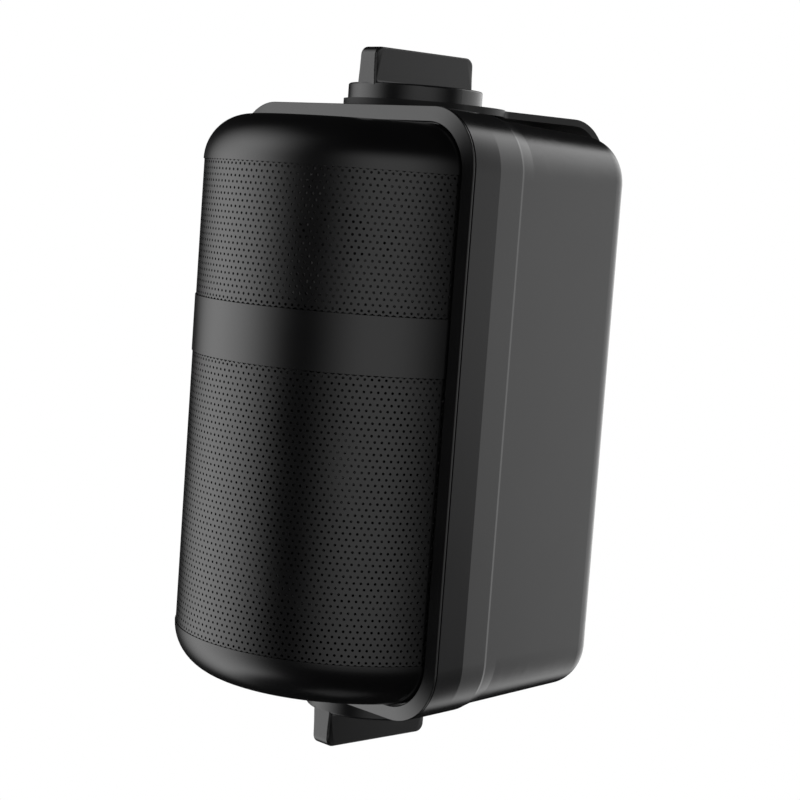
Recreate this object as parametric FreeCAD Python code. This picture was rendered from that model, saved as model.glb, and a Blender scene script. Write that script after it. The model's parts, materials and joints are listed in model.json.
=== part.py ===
import FreeCAD, Part
import math
import os

# A compact two-way wall speaker in a swivelling U bracket.
# Frame: the wall is the plane Y = 0, the speaker looks along -Y, Z = 0 is the middle of its height.
# All lengths are in millimetres and all angles in degrees.

V = FreeCAD.Vector
AXIS_X = V(1, 0, 0)
AXIS_Y = V(0, 1, 0)
AXIS_Z = V(0, 0, 1)
ORIGIN = V(0, 0, 0)
SAME = 1e-6

# Cabinet
cabinet_width = 122.4
cabinet_height = 201.2
cabinet_corner = 20.0
cabinet_depth = 79.2
cabinet_wall = 2.6
flange_depth = 10.6
flange_flare = 0.5
flange_fall = 0.45
collar_depth = 10.5
collar_inset = 0.5
collar_fall = 0.45
lip_depth = 1.0
lip_inset = 0.25
shoulder_depth = 5.0
shoulder_inset = 0.35
shoulder_fall = 1.15
rear_inset = 3.6
rear_fall = 2.7
rear_edge_radius = 9.0
rear_gap = 33.0

# Front baffle with its sloped bezel
bezel_depth = 2.2
bezel_edge = 0.5
bezel_round = 0.3
bezel_width = 4.12
bezel_height = 5.6
bezel_roll = 0.4
bezel_roll_depth = 0.3
baffle_thickness = 5.5
baffle_clearance = 0.3
gasket_thickness = 0.6
gasket_set_back = 0.7

# Grille
grille_bulge = 46.0
grille_edge_radius = 16.0
grille_wall = 1.2
grille_clearance = 0.3
band_top = 33.3
band_bottom = 14.4
field_margin = 15.8
groove_depth = 0.35
groove_width = 0.7
hole_size = 2.1
hole_rows_gap = 7.4
hole_columns_gap = 11.0
hole_sides = 6
hole_margin = 4.0
field_half_angle = 66.0

# Wall bracket
bracket_width = 28.0
bracket_thickness = 2.4
bracket_bend = 18.0
eye_radius = 24.5
eye_stretch = 9.5
eye_fillet = 5.0
wall_screw_spacing = 80.0
wall_screw_radius = 2.75
pivot_setback = 30.5
pivot_clearance = 0.5

# Clamp knobs
knob_radius = 23.1
knob_height = 5.3
knob_edge = 0.7
grip_thickness = 8.4
grip_height = 12.0
grip_draft = 0.3
grip_length = 46.4
grip_corner = 1.0
grip_top_edge = 0.7
grip_shoulder = 3.0
grip_foot_height = 1.2
grip_foot_width = 0.6
stud_radius = 4.0
stud_reach = 12.0
stud_in_knob = 6.0
stud_chamfer = 0.7
running_clearance = 0.05
pivot_seat_radius = 21.0
pad_radius = 13.0
pad_bore = 7.0
pad_thickness = 2.4
insert_radius = 5.6
insert_length = 11.0
insert_boss_radius = 9.0

# Woofer
driver_spacing = 82.0
driver_middle = 0.075
woofer_radius = 51.0
woofer_cutout = 44.5
woofer_recess = 2.8
recess_clearance = 0.3
sheet_metal = 1.4
basket_depth = 29.0
basket_foot = 26.0
basket_window_angle = 56.0
cone_radius = 35.0
cone_depth = 17.0
cone_wall = 0.6
surround_height = 4.0
surround_wall = 0.7
coil_radius = 12.9
coil_wall = 0.4
coil_length = 24.0
coil_gap = 0.5
spider_radius = 28.0
spider_depth = 20.5
spider_waves = 4
top_plate_radius = 31.0
top_plate_thickness = 5.0
magnet_radius = 35.0
magnet_bore = 18.0
magnet_thickness = 12.0
yoke_thickness = 5.0
cap_height = 5.0
cap_share = 0.3

# Tweeter
tweeter_radius = 27.0
tweeter_cutout = 19.0
tweeter_recess = 2.3
tweeter_plate = 2.2
tweeter_mouth = 13.0
dome_radius = 10.0
dome_height = 5.0
dome_rim = 14.5
film = 0.4
tweeter_cup_radius = 18.0
tweeter_cup_depth = 14.0
tweeter_cup_wall = 2.4
tweeter_magnet_radius = 11.0
tweeter_magnet_thickness = 6.0
tweeter_coil_gap = 0.5

# Crossover
board_width = 60.0
board_height = 44.0
board_thickness = 1.6
board_center = 42.0
board_stand_off = 7.0
board_post_radius = 3.2
board_post_inset = 5.0
capacitor_radius = 6.0
capacitor_length = 22.0
capacitor_round = 1.0
inductor_radius = 11.0
inductor_bore = 5.0
inductor_height = 10.0

# Wire terminals
cup_width = 46.0
cup_height = 36.0
cup_corner = 4.0
cup_share = 0.577
cup_wall = 2.0
cup_lip = 8.5
cup_lip_thickness = 2.0
cup_center = -30.0
lever_width = 12.0
lever_pitch = 20.0
lever_drop = 12.0
lever_rise = 3.0
lever_thickness = 3.0
lever_round = 1.0
lever_ribs = 3
lever_rib_radius = 0.6
lever_rib_length = 9.6
lever_rib_first = 1.8
lever_rib_pitch = 2.4
lever_pin_radius = 1.5
lever_pin_reach = 1.6
lever_inset = 5.5
lever_clearance = 0.4
ear_thickness = 2.4
wire_hole_radius = 1.6
wire_block_height = 6.0
contact_thickness = 0.8
contact_width = 5.0
contact_stub = 1.0
contact_clearance = 2.0

# Screws
screw_shank = 1.6
screw_head = 3.2
screw_head_height = 1.8
screw_crown = 1.1
screw_clearance = 0.1
screw_socket = 1.1
baffle_screw_inset = 15.0
baffle_screw_length = 16.0
boss_radius = 4.6
boss_length = 21.0
rib_thickness = 3.0
driver_screw_length = 9.0
woofer_screw_circle = 47.9
tweeter_screw_circle = 23.0
board_screw_length = 6.0
terminal_screw_length = 8.0

# Places worked out from the sizes above
y_rear = -rear_gap
y_mouth = y_rear - cabinet_depth
y_seat = y_mouth - gasket_thickness
y_front = y_seat - bezel_depth
y_baffle_back = y_seat + baffle_thickness
y_flange = y_mouth + flange_depth
y_collar = y_flange + collar_depth
y_lip = y_collar + lip_depth
y_shoulder = y_lip + shoulder_depth
y_pivot = y_front + pivot_setback
z_pad = cabinet_height / 2 - flange_fall - collar_fall - lip_inset - shoulder_fall
z_eye = z_pad + pad_thickness
z_knob = z_eye + bracket_thickness
z_disc_top = z_knob + knob_height
mouth_size = (cabinet_width - 2 * flange_flare, cabinet_height, cabinet_corner)
baffle_screw_x = cabinet_width / 2 - baffle_screw_inset
baffle_screw_z = cabinet_height / 2 - baffle_screw_inset
grille_height = cabinet_height - 2 * bezel_height
grille_half_width = cabinet_width / 2 - flange_flare - bezel_width
grille_radius = (grille_half_width ** 2 + grille_bulge ** 2) / (2 * grille_bulge)
y_grille_axis = y_seat - grille_bulge + grille_radius
field_edge = grille_height / 2 - field_margin
woofer_height = driver_middle * cabinet_height - driver_spacing / 2
tweeter_height = driver_middle * cabinet_height + driver_spacing / 2
y_woofer = y_seat + woofer_recess
y_foot = y_woofer + basket_depth
y_yoke_back = y_foot + top_plate_thickness + magnet_thickness + yoke_thickness
cup_depth = cup_share * (y_rear - y_yoke_back)
contact_reach = y_rear - y_yoke_back - cup_depth - cup_wall - contact_clearance
y_tweeter = y_seat + tweeter_recess
y_board = y_rear - cabinet_wall - board_stand_off


def rounded_rect(width, height, radius, y, z=0.0):
    """Outline of a rounded rectangle in the plane Y = y, centred on X = 0."""
    inner_x = width / 2 - radius
    inner_z = height / 2 - radius
    centres = ((inner_x, inner_z), (-inner_x, inner_z), (-inner_x, -inner_z), (inner_x, -inner_z))
    arcs = []
    for quarter, (cx, cz) in enumerate(centres):
        turns = [math.radians(90 * quarter + turn) for turn in (0, 45, 90)]
        points = [V(cx + radius * math.cos(t), y, z + cz + radius * math.sin(t)) for t in turns]
        arcs.append(Part.Arc(*points))
    edges = []
    for arc, following in zip(arcs, arcs[1:] + arcs[:1]):
        edges.append(arc.toShape())
        edges.append(Part.makeLine(arc.EndPoint, following.StartPoint))
    return Part.Wire(edges)


def prism(size, y0, y1, z=0.0):
    """Rounded bar along Y; size is its width, height and corner radius."""
    return Part.Face(rounded_rect(*size, y0, z)).extrude(V(0, y1 - y0, 0))


def taper(size0, y0, size1, y1):
    """Straight-sided transition between two rounded rectangles."""
    return Part.makeLoft([rounded_rect(*size0, y0), rounded_rect(*size1, y1)], True, True)


def grown(size, margin):
    """A rounded rectangle's sizes with its outline moved out by a margin."""
    return (size[0] + 2 * margin, size[1] + 2 * margin, size[2] + margin)


def stepped_in(size, side, fall):
    """A rounded rectangle's sizes moved in by side at left and right, and by fall at top and bottom."""
    return (size[0] - 2 * side, size[1] - 2 * fall, size[2] - side)


def rod(radius, y0, y1, x=0.0, z=0.0):
    """Round bar along Y."""
    return Part.makeCylinder(radius, y1 - y0, V(x, y0, z), AXIS_Y)


def pipe(outer, inner, y0, y1, x=0.0, z=0.0):
    """Round tube along Y."""
    return rod(outer, y0, y1, x, z).cut(rod(inner, y0, y1, x, z))


def post(radius, z0, z1, x=0.0, y=None):
    """Round bar along Z, on the swivel axis unless a place is given."""
    return Part.makeCylinder(radius, z1 - z0, V(x, y_pivot if y is None else y, z0), AXIS_Z)


def turned(points, z):
    """Body of revolution about an axis along Y at height z, from (radius, y) points."""
    outline = [V(radius, y, z) for radius, y in points]
    face = Part.Face(Part.makePolygon(outline + outline[:1]))
    return face.revolve(V(0, 0, z), AXIS_Y, 360)


def domed(radius, height, thickness, y_rim, z):
    """Thin dome that bulges along -Y from a rim at y_rim, turned from two parallel arcs."""
    bow = (radius ** 2 + height ** 2) / (2 * height)
    half_turn = math.asin(radius / bow) / 2
    middle = V(bow * math.sin(half_turn), y_rim - height + bow * (1 - math.cos(half_turn)), z)
    rim = V(radius, y_rim, z)
    apex = V(0, y_rim - height, z)
    back = V(0, thickness, 0)
    edges = [Part.Arc(rim, middle, apex).toShape(), Part.makeLine(apex, apex + back),
             Part.Arc(apex + back, middle + back, rim + back).toShape(), Part.makeLine(rim + back, rim)]
    return Part.Face(Part.Wire(edges)).revolve(V(0, 0, z), AXIS_Y, 360)


def ring_places(radius, count, z, first=0.0):
    """Points (x, z) spaced evenly on a circle in the front plane."""
    turns = [math.radians(first + 360.0 * k / count) for k in range(count)]
    return [(radius * math.cos(t), z + radius * math.sin(t)) for t in turns]


def flipped(shape):
    """Copy of a top piece turned half a turn about Y, for the bottom."""
    copy = shape.copy()
    copy.rotate(ORIGIN, AXIS_Y, 180)
    return copy


def edges_at(shape, axis, place):
    """Edges of a shape whose ends and middle all lie in the plane where the axis reads the given place."""
    found = []
    for edge in shape.Edges:
        points = [vertex.Point for vertex in edge.Vertexes] + [edge.CenterOfMass]
        if all(abs(point.dot(axis) - place) < SAME for point in points):
            found.append(edge)
    return found


def screws(places, y_head, length, direction=1):
    """Pan-head screws along Y; the head's flat is at y_head and the shank goes in the given direction."""
    solids = []
    for x, z in places:
        shank = Part.makeCylinder(screw_shank, length, V(x, y_head, z), AXIS_Y * direction)
        head = Part.makeCylinder(screw_head, screw_head_height, V(x, y_head, z), AXIS_Y * -direction)
        crown = edges_at(head, AXIS_Y, y_head - direction * screw_head_height)
        head = head.makeFillet(screw_crown, crown)
        socket = Part.makeCylinder(screw_socket, screw_head_height,
                                   V(x, y_head - direction * screw_head_height / 2, z), AXIS_Y * -direction)
        solids.append(shank.fuse(head).removeSplitter().cut(socket))
    return Part.makeCompound(solids)


def corner_places(x, z):
    """The four mirrored places of one corner."""
    return [(sx * x, sz * z) for sx in (1, -1) for sz in (1, -1)]


def cabinet_sections(inset):
    """Mouth, flange, collar, lip, shoulder and rear outlines, moved in by an inset."""
    mouth = grown(mouth_size, -inset)
    flange = stepped_in(mouth, -flange_flare, flange_fall)
    collar = stepped_in(flange, collar_inset, collar_fall)
    lip = stepped_in(collar, lip_inset, lip_inset)
    shoulder = stepped_in(lip, shoulder_inset, shoulder_fall)
    return mouth, flange, collar, lip, shoulder, stepped_in(shoulder, rear_inset, rear_fall)


def cabinet_form(inset):
    """Cabinet's outer form, or its hollow when inset by the wall."""
    sections = cabinet_sections(inset)
    y_back = y_rear - inset
    places = (y_mouth, y_flange, y_collar, y_lip, y_shoulder, y_back)
    lengths = []
    for k in range(len(places) - 1):
        lengths.append(taper(sections[k], places[k], sections[k + 1], places[k + 1]))
    body = lengths.pop()
    body = body.makeFillet(rear_edge_radius - inset, edges_at(body, AXIS_Y, y_back))
    return body.fuse(lengths).removeSplitter()


def baffle_bosses(form):
    """Screw bosses in the mouth's corners, each tied to its corner by a rib."""
    pieces = []
    for x, z in corner_places(baffle_screw_x, baffle_screw_z):
        corner = V(x, y_baffle_back, z - rib_thickness / 2)
        rib = Part.makeBox(cabinet_corner, boss_length, rib_thickness, corner)
        rib.rotate(V(x, 0, z), AXIS_Y, -math.degrees(math.atan2(math.copysign(1, z), math.copysign(1, x))))
        pieces.append(rib.common(form))
        pieces.append(rod(boss_radius, y_baffle_back, y_baffle_back + boss_length, x, z))
    return pieces


def board_places():
    """Centres of the crossover board's posts."""
    x = board_width / 2 - board_post_inset
    z = board_height / 2 - board_post_inset
    return [(px, board_center + pz) for px, pz in corner_places(x, z)]


def terminal_places():
    """Centres of the terminal cup's fixing screws, in its lip."""
    x = (cup_width + cup_wall + cup_lip) / 2
    return [(sx * x, cup_center) for sx in (1, -1)]


def make_cabinet():
    """Moulded shell, open at the front, with pivot bosses, screw bosses and board posts."""
    form = cabinet_form(0.0)
    shell = form.cut(cabinet_form(cabinet_wall))
    seat = post(pivot_seat_radius, z_pad - 2 * cabinet_wall, z_pad)
    boss = post(insert_boss_radius, z_pad - insert_length - cabinet_wall, z_pad)
    bore = post(insert_radius + running_clearance, z_pad - insert_length, z_pad)
    way = post(stud_radius + pivot_clearance, z_pad - 2 * stud_reach, z_pad)
    posts = [rod(board_post_radius, y_board, y_rear - cabinet_wall / 2, x, z) for x, z in board_places()]
    added = [seat, boss, flipped(seat), flipped(boss)] + baffle_bosses(form) + posts
    hole = screw_shank + screw_clearance
    relief = post(pad_radius + baffle_clearance, z_pad, z_eye)
    cuts = [bore, way, relief, flipped(bore), flipped(way), flipped(relief)]
    for x, z in corner_places(baffle_screw_x, baffle_screw_z):
        cuts.append(rod(hole, y_baffle_back, y_baffle_back + baffle_screw_length, x, z))
    for x, z in board_places():
        cuts.append(rod(hole, y_board, y_board + board_screw_length, x, z))
    for x, z in terminal_places():
        cuts.append(rod(hole, y_rear - 2 * cabinet_wall, y_rear, x, z))
    window = grown((cup_width, cup_height, cup_corner), cup_wall + baffle_clearance)
    cuts.append(prism(window, y_rear - 2 * cabinet_wall, y_rear, cup_center))
    return shell.fuse(added).removeSplitter().cut(cuts)


def make_front_baffle():
    """Plate that carries both drivers, with a sloped bezel ring round the grille."""
    opening = grown((2 * grille_half_width, grille_height, grille_edge_radius), grille_clearance)
    crest = grown(opening, bezel_roll)
    y_edge = y_seat - bezel_edge
    ring = prism(mouth_size, y_edge, y_seat).fuse(taper(mouth_size, y_edge, crest, y_front))
    ring = ring.makeFillet(bezel_round, edges_at(ring, AXIS_Y, y_edge))
    plug = prism(grown(mouth_size, -(cabinet_wall + baffle_clearance)), y_seat, y_baffle_back)
    plate = ring.fuse(plug).removeSplitter()
    cuts = [prism(opening, y_front, y_seat)]
    cuts.append(taper(crest, y_front, opening, y_front + bezel_roll_depth))
    cuts.append(rod(woofer_cutout, y_seat, y_baffle_back, 0, woofer_height))
    cuts.append(rod(woofer_radius + recess_clearance, y_seat, y_woofer, 0, woofer_height))
    cuts.append(rod(tweeter_cutout, y_seat, y_baffle_back, 0, tweeter_height))
    cuts.append(rod(tweeter_radius + recess_clearance, y_seat, y_tweeter, 0, tweeter_height))
    hole = screw_shank + screw_clearance
    places = corner_places(baffle_screw_x, baffle_screw_z) + woofer_screw_places() + tweeter_screw_places()
    for x, z in places:
        cuts.append(rod(hole, y_seat, y_baffle_back, x, z))
    return plate.cut(cuts)


def woofer_screw_places():
    """Centres of the woofer's four screws."""
    return ring_places(woofer_screw_circle, 4, woofer_height, 45)


def tweeter_screw_places():
    """Centres of the tweeter's two screws, left and right of its mouth."""
    return ring_places(tweeter_screw_circle, 2, tweeter_height)


def make_baffle_gasket():
    """Foam ring between the bezel and the cabinet's mouth."""
    inner = prism(grown(mouth_size, -cabinet_wall), y_seat, y_mouth)
    return prism(grown(mouth_size, -gasket_set_back), y_seat, y_mouth).cut(inner)


def bowed_block(radius, height, edge_radius):
    """Half-round block on the baffle's face, its top and bottom edges rounded."""
    half_width = math.sqrt(radius ** 2 - (y_grille_axis - y_seat) ** 2)
    ends = [V(sx * half_width, y_seat, -height / 2) for sx in (-1, 1)]
    bow = Part.Arc(ends[0], V(0, y_grille_axis - radius, -height / 2), ends[1])
    face = Part.Face(Part.Wire([bow.toShape(), Part.makeLine(ends[1], ends[0])]))
    block = face.extrude(V(0, 0, height))
    rims = [e for e in block.Edges if e.Curve.TypeId == "Part::GeomCircle"]
    return block.makeFillet(edge_radius, rims)


def perforation_rows():
    """Heights of the rows of holes in the upper and the lower field."""
    rows = []
    for low, high in ((band_top, field_edge), (-field_edge, band_bottom)):
        span = high - low - 2 * hole_margin
        count = int(span / hole_rows_gap) + 1
        first = (low + high - (count - 1) * hole_rows_gap) / 2
        rows += [first + k * hole_rows_gap for k in range(count)]
    return rows


def perforations():
    """Six-sided holes, staggered row by row, each pointing at the grille's axis."""
    depth = 4 * grille_wall
    y_start = y_grille_axis - grille_radius - depth / 2
    outline = [V(x, y_start, z) for x, z in ring_places(hole_size, hole_sides, 0.0)]
    pin = Part.Face(Part.makePolygon(outline + outline[:1])).extrude(V(0, depth, 0))
    step = math.degrees(hole_columns_gap / grille_radius)
    half_count = int(field_half_angle / step)
    pins = []
    for row, z in enumerate(perforation_rows()):
        shift = 0.5 * (row % 2)
        for column in range(-half_count, half_count + 1 - row % 2):
            copy = pin.copy()
            copy.translate(V(0, 0, z))
            copy.rotate(V(0, y_grille_axis, 0), AXIS_Z, (column + shift) * step)
            pins.append(copy)
    return pins


def make_grille():
    """Bowed sheet grille: two perforated fields, a plain band between them and plain rounded ends."""
    shell = bowed_block(grille_radius, grille_height, grille_edge_radius)
    hollow_height = grille_height - 2 * grille_wall
    hollow = bowed_block(grille_radius - grille_wall, hollow_height, grille_edge_radius - grille_wall)
    grooves = []
    for z in (band_top, band_bottom, field_edge, -field_edge):
        low = z - groove_width / 2
        high = z + groove_width / 2
        outer = post(grille_radius + groove_depth, low, high, 0, y_grille_axis)
        inner = post(grille_radius - groove_depth, low, high, 0, y_grille_axis)
        grooves.append(outer.cut(inner))
    return shell.cut(hollow).cut(grooves).cut(perforations())


def bracket_eye():
    """Oblong eye: a disc on the swivel axis and one behind it, joined by straight sides."""
    link = Part.makeBox(2 * eye_radius, eye_stretch, bracket_thickness, V(-eye_radius, y_pivot, z_eye))
    rear = post(eye_radius, z_eye, z_knob, 0, y_pivot + eye_stretch)
    return post(eye_radius, z_eye, z_knob).fuse([link, rear]).removeSplitter()


def make_wall_bracket():
    """Flat bar bent into a U, with an oblong eye at each end and two wall screw holes."""
    half = bracket_width / 2
    outer = Part.makeBox(bracket_width, -y_pivot, 2 * z_knob, V(-half, y_pivot, -z_knob))
    bends = [e for e in edges_at(outer, AXIS_Y, 0.0) if e.Length < z_knob]
    outer = outer.makeFillet(bracket_bend, bends)
    inner = Part.makeBox(bracket_width, -y_pivot - bracket_thickness, 2 * z_eye, V(-half, y_pivot, -z_eye))
    bends = [e for e in edges_at(inner, AXIS_Y, -bracket_thickness) if e.Length < z_eye]
    inner = inner.makeFillet(bracket_bend - bracket_thickness, bends)
    eye = bracket_eye()
    bar = outer.cut(inner).fuse([eye, flipped(eye)]).removeSplitter()
    necks = edges_at(bar, AXIS_Y, y_pivot + eye_stretch + math.sqrt(eye_radius ** 2 - half ** 2))
    bar = bar.makeFillet(eye_fillet, necks)
    pin_hole = post(stud_radius + pivot_clearance, z_eye, z_knob)
    cuts = [pin_hole, flipped(pin_hole)]
    for side in (1, -1):
        cuts.append(rod(wall_screw_radius, -bracket_thickness, 0, 0, side * wall_screw_spacing / 2))
    return bar.cut(cuts)


def grip_bar(half_low, z_low, half_high, z_high):
    """Bar across the knob along Y, tapered in thickness from its low to its high half width."""
    y_start = y_pivot - knob_radius
    outline = [V(-half_low, y_start, z_low), V(half_low, y_start, z_low),
               V(half_high, y_start, z_high), V(-half_high, y_start, z_high)]
    return Part.Face(Part.makePolygon(outline + outline[:1])).extrude(V(0, 2 * knob_radius, 0))


def grip_section(z, margin):
    """Grip outline at height z, grown by a margin."""
    wire = rounded_rect(grip_thickness + 2 * margin, grip_length + 2 * margin, grip_corner, 0)
    wire.rotate(ORIGIN, AXIS_X, 90)
    wire.translate(V(0, y_pivot, z))
    return wire


def make_grip():
    """Upright grip with rounded shoulders, as long as the disc is wide."""
    z_top = z_disc_top + grip_height
    sections = [grip_section(z_disc_top - knob_edge, grip_draft), grip_section(z_top, -grip_draft)]
    grip = Part.makeLoft(sections, True, True)
    half = grip_length / 2 - grip_draft
    reach = grip_thickness
    corner = V(-reach, y_pivot - half, z_top - 2 * grip_height)
    mask = Part.makeBox(2 * reach, 2 * half, 2 * grip_height, corner)
    crests = [e for e in edges_at(mask, AXIS_Z, z_top) if abs(e.CenterOfMass.x) < SAME]
    grip = grip.common(mask.makeFillet(grip_shoulder, crests)).removeSplitter()
    ridges = [e for e in edges_at(grip, AXIS_Z, z_top) if abs(e.CenterOfMass.x) > SAME]
    return grip.makeFillet(grip_top_edge, ridges)


def make_knob():
    """Round clamp knob with an upright grip across it and a sloped foot along the grip."""
    disc = post(knob_radius, z_knob, z_disc_top)
    disc = disc.makeFillet(knob_edge, edges_at(disc, AXIS_Z, z_disc_top))
    half = grip_thickness / 2
    z_foot = z_disc_top + grip_foot_height
    foot = grip_bar(half + grip_foot_width, z_disc_top, half, z_foot)
    foot = foot.common(post(knob_radius - knob_edge, z_disc_top, z_foot))
    knob = disc.fuse([make_grip(), foot]).removeSplitter()
    return knob.cut(post(stud_radius + running_clearance, z_knob, z_knob + stud_in_knob))


def make_stud():
    """Threaded stud fixed in the knob, its thread left plain."""
    z_tip = z_pad - stud_reach
    stud = post(stud_radius, z_tip, z_knob + stud_in_knob)
    return stud.makeChamfer(stud_chamfer, edges_at(stud, AXIS_Z, z_tip))


def make_pad():
    """Rubber friction washer between the cabinet and the bracket's eye."""
    return post(pad_radius, z_pad, z_eye).cut(post(pad_bore, z_pad, z_eye))


def make_insert():
    """Brass threaded insert in the cabinet's pivot boss."""
    low = z_pad - insert_length
    return post(insert_radius, low, z_pad).cut(post(stud_radius + running_clearance, low, z_pad))


def make_woofer_basket():
    """Pressed steel frame: mounting flange, four windows, a spider ledge and a flat foot."""
    y_flange_front = y_woofer - sheet_metal
    throat = woofer_cutout - recess_clearance
    y_ledge = y_woofer + spider_depth
    ledge = spider_radius + sheet_metal
    hole = coil_radius + 2 * coil_gap
    points = [(throat - sheet_metal, y_flange_front), (woofer_radius, y_flange_front),
              (woofer_radius, y_woofer), (throat, y_woofer), (throat, y_woofer + sheet_metal),
              (ledge + sheet_metal, y_ledge), (basket_foot + sheet_metal, y_ledge),
              (basket_foot + sheet_metal, y_foot), (hole, y_foot), (hole, y_foot - sheet_metal),
              (basket_foot, y_foot - sheet_metal), (basket_foot, y_ledge - sheet_metal),
              (ledge, y_ledge - sheet_metal), (throat - sheet_metal, y_woofer)]
    basket = turned(points, woofer_height)
    cuts = []
    y_low = y_woofer + 2 * sheet_metal
    y_high = y_ledge - 2 * sheet_metal
    blank = pipe(woofer_radius, ledge - sheet_metal, y_low, y_high, 0, woofer_height)
    hub = V(0, y_low, woofer_height)
    for quarter in range(4):
        wedge = Part.makeCylinder(woofer_radius, y_high - y_low, hub, AXIS_Y, basket_window_angle)
        wedge.rotate(hub, AXIS_Y, 90 * quarter - basket_window_angle / 2)
        cuts.append(blank.common(wedge))
    for x, z in woofer_screw_places():
        cuts.append(rod(screw_shank + screw_clearance, y_flange_front, y_woofer, x, z))
    return basket.cut(cuts)


def make_woofer_surround():
    """Rubber half roll between the cone's edge and the basket's flange."""
    y_face = y_woofer - sheet_metal
    inner = cone_radius
    outer = woofer_cutout
    middle = (inner + outer) / 2
    reach = (outer - inner) / 2 - surround_wall
    roll = rod(outer, y_face - surround_wall, y_face, 0, woofer_height)
    roll = roll.cut(rod(inner - surround_wall, y_face - surround_wall, y_face, 0, woofer_height))
    arch = Part.makeTorus(middle, reach, V(0, y_face, woofer_height), AXIS_Y)
    bore = Part.makeTorus(middle, reach - surround_wall, V(0, y_face, woofer_height), AXIS_Y)
    front = rod(woofer_radius, y_face - surround_height - reach, y_face, 0, woofer_height)
    return roll.fuse(arch.common(front)).cut(bore).removeSplitter()


def make_woofer_cone():
    """Thin paper cone from the surround down to the voice coil."""
    y_edge = y_woofer - sheet_metal
    y_neck = y_edge + cone_depth
    lip = cone_radius + surround_wall
    points = [(cone_radius, y_edge), (lip, y_edge), (lip, y_edge + cone_wall),
              (cone_radius, y_edge + cone_wall), (coil_radius + cone_wall, y_neck),
              (coil_radius, y_neck), (coil_radius, y_neck - cone_wall)]
    return turned(points, woofer_height)


def make_woofer_dust_cap():
    """Shallow dome over the cone's throat."""
    y_neck = y_woofer - sheet_metal + cone_depth
    radius = coil_radius + cap_share * (cone_radius - coil_radius)
    y_rim = y_neck - cap_share * cone_depth - 2 * cone_wall
    return domed(radius, cap_height, cone_wall, y_rim, woofer_height)


def make_woofer_voice_coil():
    """Coil former with its winding, running in the magnet's gap."""
    y_start = y_woofer - sheet_metal + cone_depth - cone_wall
    return pipe(coil_radius, coil_radius - coil_wall, y_start, y_start + coil_length, 0, woofer_height)


def make_woofer_spider():
    """Centring disc between the coil former and the basket's ledge."""
    y_face = y_woofer + spider_depth - sheet_metal
    low = coil_radius + running_clearance
    span = (spider_radius - low) / spider_waves
    front = []
    back = []
    for k in range(spider_waves + 1):
        lift = cone_wall if k % 2 else 0.0
        front.append((low + k * span, y_face - cone_wall - lift))
        back.append((low + k * span, y_face - lift))
    return turned(front + back[::-1], woofer_height)


def make_woofer_top_plate():
    """Steel ring at the front of the magnet, with the gap for the coil."""
    y_back = y_foot + top_plate_thickness
    return pipe(top_plate_radius, coil_radius + coil_gap, y_foot, y_back, 0, woofer_height)


def make_woofer_magnet():
    """Ferrite ring magnet."""
    y0 = y_foot + top_plate_thickness
    return pipe(magnet_radius, magnet_bore, y0, y0 + magnet_thickness, 0, woofer_height)


def make_woofer_yoke():
    """Back plate with the centre pole that fills the coil."""
    y_plate = y_foot + top_plate_thickness + magnet_thickness
    plate = rod(top_plate_radius, y_plate, y_plate + yoke_thickness, 0, woofer_height)
    pole = rod(coil_radius - coil_wall - coil_gap, y_foot, y_plate, 0, woofer_height)
    return plate.fuse(pole).removeSplitter()


def make_tweeter_faceplate():
    """Round plate with a flared mouth round the dome."""
    y_face = y_tweeter - tweeter_plate
    y_back = y_tweeter
    points = [(dome_rim - film, y_back), (tweeter_radius, y_back), (tweeter_radius, y_face),
              (tweeter_mouth + tweeter_plate * 2, y_face), (tweeter_mouth, y_face + tweeter_plate / 2),
              (tweeter_mouth, y_back - film), (dome_rim - film, y_back - film)]
    plate = turned(points, tweeter_height)
    holes = [rod(screw_shank + screw_clearance, y_face, y_back, x, z) for x, z in tweeter_screw_places()]
    return plate.cut(holes)


def make_tweeter_diaphragm():
    """Pressed film dome with its flat rim."""
    bow = (dome_radius ** 2 + dome_height ** 2) / (2 * dome_height)
    centre = V(0, y_tweeter - film - dome_height + bow, tweeter_height)
    slab = rod(dome_radius, y_tweeter - film - dome_height, y_tweeter, 0, tweeter_height)
    dome = Part.makeSphere(bow, centre).common(slab)
    rim = rod(dome_rim - 2 * film, y_tweeter - film, y_tweeter, 0, tweeter_height)
    return dome.fuse(rim).cut(Part.makeSphere(bow - film, centre)).removeSplitter()


def make_tweeter_cup():
    """Steel cup that closes the tweeter's magnet circuit."""
    outer = rod(tweeter_cup_radius, y_tweeter, y_tweeter + tweeter_cup_depth, 0, tweeter_height)
    inner = rod(dome_radius + 2 * tweeter_coil_gap + film, y_tweeter,
                y_tweeter + tweeter_cup_depth - tweeter_cup_wall, 0, tweeter_height)
    room = rod(tweeter_cup_radius - tweeter_cup_wall, y_tweeter + tweeter_cup_wall,
               y_tweeter + tweeter_cup_depth - tweeter_cup_wall, 0, tweeter_height)
    return outer.cut([inner, room])


def make_tweeter_magnet():
    """Disc magnet standing on the cup's floor."""
    y_floor = y_tweeter + tweeter_cup_depth - tweeter_cup_wall
    return rod(tweeter_magnet_radius - film, y_floor - tweeter_magnet_thickness, y_floor, 0, tweeter_height)


def make_tweeter_pole():
    """Steel disc on the magnet, inside the coil."""
    y_floor = y_tweeter + tweeter_cup_depth - tweeter_cup_wall - tweeter_magnet_thickness
    radius = dome_radius - tweeter_coil_gap - film
    return rod(radius, y_tweeter + tweeter_coil_gap, y_floor, 0, tweeter_height)


def make_tweeter_coil():
    """Fine coil glued under the dome's edge."""
    depth = tweeter_cup_wall + film
    return pipe(dome_radius, dome_radius - film, y_tweeter, y_tweeter + depth, 0, tweeter_height)


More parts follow.
